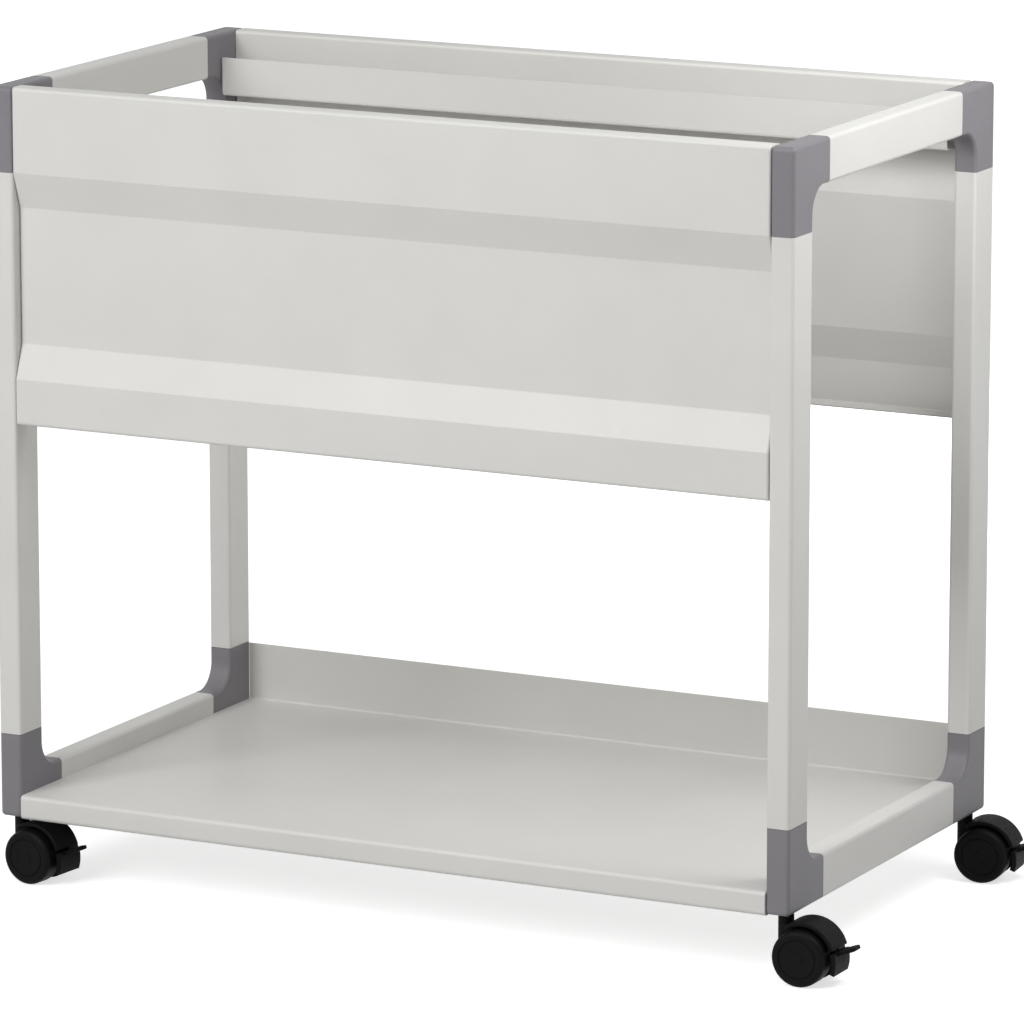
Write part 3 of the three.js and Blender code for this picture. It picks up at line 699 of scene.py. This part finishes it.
def housing_piece(corner):
    """The body between the wheels: hood over the treads, stem boss, and fork for the pedal."""
    place = caster_place(corner)
    half = HOUSING_WIDTH / 2
    crown = hub_arc(HOOD_RADIUS, HOOD_REAR_ANGLE, HOOD_FRONT_ANGLE, HOOD_STEPS)
    underside = hub_arc(HOOD_RADIUS - HOOD_WALL, HOOD_FRONT_ANGLE, HOOD_REAR_ANGLE, HOOD_STEPS)
    inside = hub_arc(HOOD_RADIUS - HOOD_WALL / 2, HOOD_REAR_ANGLE, HOOD_FRONT_ANGLE, HOOD_STEPS)
    neck = [(0, inside[-1][1]), (0, BOSS_BOTTOM)]
    belly = hub_arc(HOUSING_RADIUS, HOUSING_FRONT_ANGLE, HOOD_REAR_ANGLE, HOOD_STEPS)
    cheek = belly + inside + neck
    core_radius = PIVOT_REACH - PIVOT_LUG
    core = hub_arc(core_radius, HOUSING_FRONT_ANGLE, HOOD_FRONT_ANGLE, HOOD_STEPS) + neck
    slot_half = PEDAL_WEB / 2 + FORK_GAP
    shape = bmesh.new()
    add_plate(shape, crown + underside, -HOOD_WIDTH / 2, HOOD_WIDTH / 2, place, HOOD_RIM)
    add_plate(shape, core, -slot_half, slot_half, place, CORE_RIM, CORE_RIM_STEPS)
    boss = [
        (0, BOSS_BOTTOM),
        (half - BOSS_BOTTOM_CHAMFER, BOSS_BOTTOM),
        (half, BOSS_BOTTOM + BOSS_BOTTOM_CHAMFER),
        (half, BOSS_TOP - BOSS_TOP_CHAMFER),
        (half - BOSS_TOP_CHAMFER, BOSS_TOP),
        (0, BOSS_TOP),
    ]
    add_lathe(shape, boss, place, SMALL_ROUND_STEPS)
    lug = circle(PIVOT_X, PIVOT_Z, PIVOT_LUG)
    for low, high in ((-half, -slot_half), (slot_half, half)):
        add_plate(shape, cheek, low, high, place, HOUSING_RIM)
        add_plate(shape, lug, low, high, place, HOUSING_RIM)
    node = f"caster_housing_{corner}"
    finish_piece(node + "_hood", mesh_of(node, shape), f"caster_{corner}", "black_plastic", [node])


def shifted(outline, along):
    return [(x + along, y) for x, y in outline]


def pedal_piece(corner):
    """A curved shoe behind the treads, a foot tab with grip ribs, and a web on the pivot."""
    pivot = Matrix.Translation((PIVOT_X, 0, PIVOT_Z))
    tip_back = pivot @ Matrix.Rotation(-PEDAL_TRAVEL, 4, "Y") @ pivot.inverted()
    place = caster_place(corner) @ tip_back
    shape = bmesh.new()
    shoe_outside = hub_arc(HOOD_RADIUS, SHOE_BOTTOM_ANGLE, SHOE_TOP_ANGLE, SHOE_STEPS)
    shoe_inside = hub_arc(SHOE_INNER, SHOE_TOP_ANGLE, SHOE_BOTTOM_ANGLE, SHOE_STEPS)
    shoe = shoe_outside + shoe_inside
    add_plate(shape, shoe, -HOOD_WIDTH / 2, HOOD_WIDTH / 2, place, HOOD_RIM)

    root_x, root_z = shoe_inside[0]
    tab_turn = Matrix.Rotation(-TAB_RISE, 4, "Y")
    flat = Matrix.Rotation(math.pi / 2, 4, "X")
    tab_place = place @ Matrix.Translation((root_x, 0, root_z)) @ tab_turn @ flat
    tab = rounded_rectangle(TAB_LENGTH, TAB_WIDTH, TAB_THICKNESS)
    tab = shifted(tab, TAB_LENGTH / 2)
    add_plate(shape, tab, -TAB_THICKNESS, 0, tab_place, TAB_RIM)
    for i in range(RIB_COUNT):
        rib = rounded_rectangle(RIB_WIDTH, TAB_WIDTH - 2 * RIB_SIDE_MARGIN, RIB_CORNER)
        rib = shifted(rib, TAB_LENGTH - RIB_FROM_TIP - i * RIB_PITCH)
        add_plate(shape, rib, -RIB_RISE, RIB_RISE, tab_place, RIB_RIM, FINE_RIM_STEPS)

    boss = PIVOT_LUG - FORK_GAP
    web_end = root_x + SHOE_THICKNESS / 2
    web = [
        (PIVOT_X, PIVOT_Z - boss),
        (web_end, root_z - 2 * TAB_THICKNESS),
        (web_end, root_z - TAB_THICKNESS / 2),
        (PIVOT_X, PIVOT_Z + boss),
    ]
    web += arc(PIVOT_X, PIVOT_Z, boss, 90, 270, WEB_STEPS)[1:-1]
    add_plate(shape, web, -PEDAL_WEB / 2, PEDAL_WEB / 2, place, WEB_RIM, FINE_RIM_STEPS)
    pin_half = HOUSING_WIDTH / 2 - FORK_GAP
    pin = circle(PIVOT_X, PIVOT_Z, PIVOT_PIN)
    add_plate(shape, pin, -pin_half, pin_half, place, PIN_RIM, FINE_RIM_STEPS)
    node = f"brake_pedal_{corner}"
    finish_piece(node + "_lever", mesh_of(node, shape), f"brake_{corner}", "black_plastic", [node])


for end, side in CORNERS:
    corner = f"{end}_{side}"
    wheel_piece(corner, "a", -1)
    wheel_piece(corner, "b", 1)
    housing_piece(corner)
    pedal_piece(corner)


# Nodes that stay as they are take a material and even shading

slot_of = {part["node"]: part["material_slot"] for part in frame["record"]["subparts"]}
for name, node in frame["nodes"].items():
    if node.hide_render:
        continue
    node.data.materials.clear()
    node.data.materials.append(MATERIALS[slot_of[name]])
    weld = node.modifiers.new("weld", "WELD")
    weld.merge_threshold = WELD_REACH
    split = node.modifiers.new("keep sharp edges", "EDGE_SPLIT")
    split.split_angle = SHARP_ANGLE
    even = node.modifiers.new("even shading", "WEIGHTED_NORMAL")
    even.weight = FACE_WEIGHT


# Floor, world, lamps and camera

WHITE = (1, 1, 1, 1)
FLOOR_SIZE = 60
FLOOR_GREY = (0.65, 0.65, 0.65, 1)
FLOOR_GLOW_NEAR = 0.68
FLOOR_GLOW_FAR = 1.0
GLOW_NEAR_REACH = 0.6
GLOW_FAR_REACH = 3.5
AMBIENT = 0.17
CAMERA_PLACE = (2.8342, -5.5541, 1.6529)
CAMERA_DIP = math.radians(11.897)
CAMERA_TURN = math.radians(26.883)
CAMERA_LENS = 247.9


def camera_or_mirror(tree):
    """1 for rays that show the background: from the camera, off gloss or through glass."""
    light = tree.nodes.new("ShaderNodeLightPath")
    total = light.outputs["Is Camera Ray"]
    for ray in ("Is Glossy Ray", "Is Transmission Ray"):
        larger = tree.nodes.new("ShaderNodeMath")
        larger.operation = "MAXIMUM"
        tree.links.new(total, larger.inputs[0])
        tree.links.new(light.outputs[ray], larger.inputs[1])
        total = larger.outputs["Value"]
    return total


bpy.ops.mesh.primitive_plane_add(size=FLOOR_SIZE)
floor = bpy.context.object
floor.name = "floor"
floor_material, tree, shader = new_material("pale_floor")
shader.inputs["Base Color"].default_value = FLOOR_GREY
shader.inputs["Roughness"].default_value = 0.9
shader.inputs["Specular IOR Level"].default_value = 0.1
shader.inputs["Emission Color"].default_value = WHITE
place = tree.nodes.new("ShaderNodeNewGeometry")
reach = tree.nodes.new("ShaderNodeVectorMath")
reach.operation = "LENGTH"
tree.links.new(place.outputs["Position"], reach.inputs[0])
far_glow = spread(
    tree,
    reach.outputs["Value"],
    low=FLOOR_GLOW_NEAR,
    high=FLOOR_GLOW_FAR,
    from_low=GLOW_NEAR_REACH,
    from_high=GLOW_FAR_REACH,
)
glow = product(tree, camera_or_mirror(tree), far_glow)
tree.links.new(glow, shader.inputs["Emission Strength"])
floor.data.materials.append(floor_material)

world = bpy.data.worlds.new("studio")
bpy.context.scene.world = world
world.use_nodes = True
background = world.node_tree.nodes["Background"]
background.inputs["Color"].default_value = WHITE
shown = camera_or_mirror(world.node_tree)
ambient = spread(world.node_tree, shown, low=AMBIENT, high=1, from_low=0, from_high=1)
world.node_tree.links.new(ambient, background.inputs["Strength"])


def softbox(name, place, target, size, watts, mirrored=True):
    """A square lamp that the camera doesn't see, and gloss only if it is mirrored."""
    lamp = bpy.data.lights.new(name, "AREA")
    lamp.shape = "SQUARE"
    lamp.size = size
    lamp.energy = watts
    holder = bpy.data.objects.new(name, lamp)
    bpy.context.scene.collection.objects.link(holder)
    holder.location = place
    holder.rotation_euler = (Vector(target) - Vector(place)).to_track_quat("-Z", "Y").to_euler()
    holder.visible_camera = False
    holder.visible_glossy = mirrored


softbox("front_softbox", (-0.9, -3.0, 2.3), target=(0, 0, 0.45), size=2.0, watts=90)
softbox("top_softbox", (1.0, -0.6, 2.0), target=(0, 0.1, 0.6), size=1.0, watts=8)
softbox("right_softbox", (0.9, 0.0, 1.05), target=(0.4, 0, 0.65), size=0.45, watts=4.4)
softbox("rear_softbox", (0.1, 2.6, 0.6), target=(0, 0, 0.45), size=0.6, watts=32, mirrored=False)

lens = bpy.data.cameras.new("camera")
lens.lens = CAMERA_LENS
lens.sensor_width = 36
lens.clip_end = 200
camera = bpy.data.objects.new("camera", lens)
bpy.context.scene.collection.objects.link(camera)
camera.location = CAMERA_PLACE
camera.rotation_euler = (math.pi / 2 - CAMERA_DIP, 0, CAMERA_TURN)
bpy.context.scene.camera = camera
bpy.context.scene.view_settings.view_transform = "Standard"
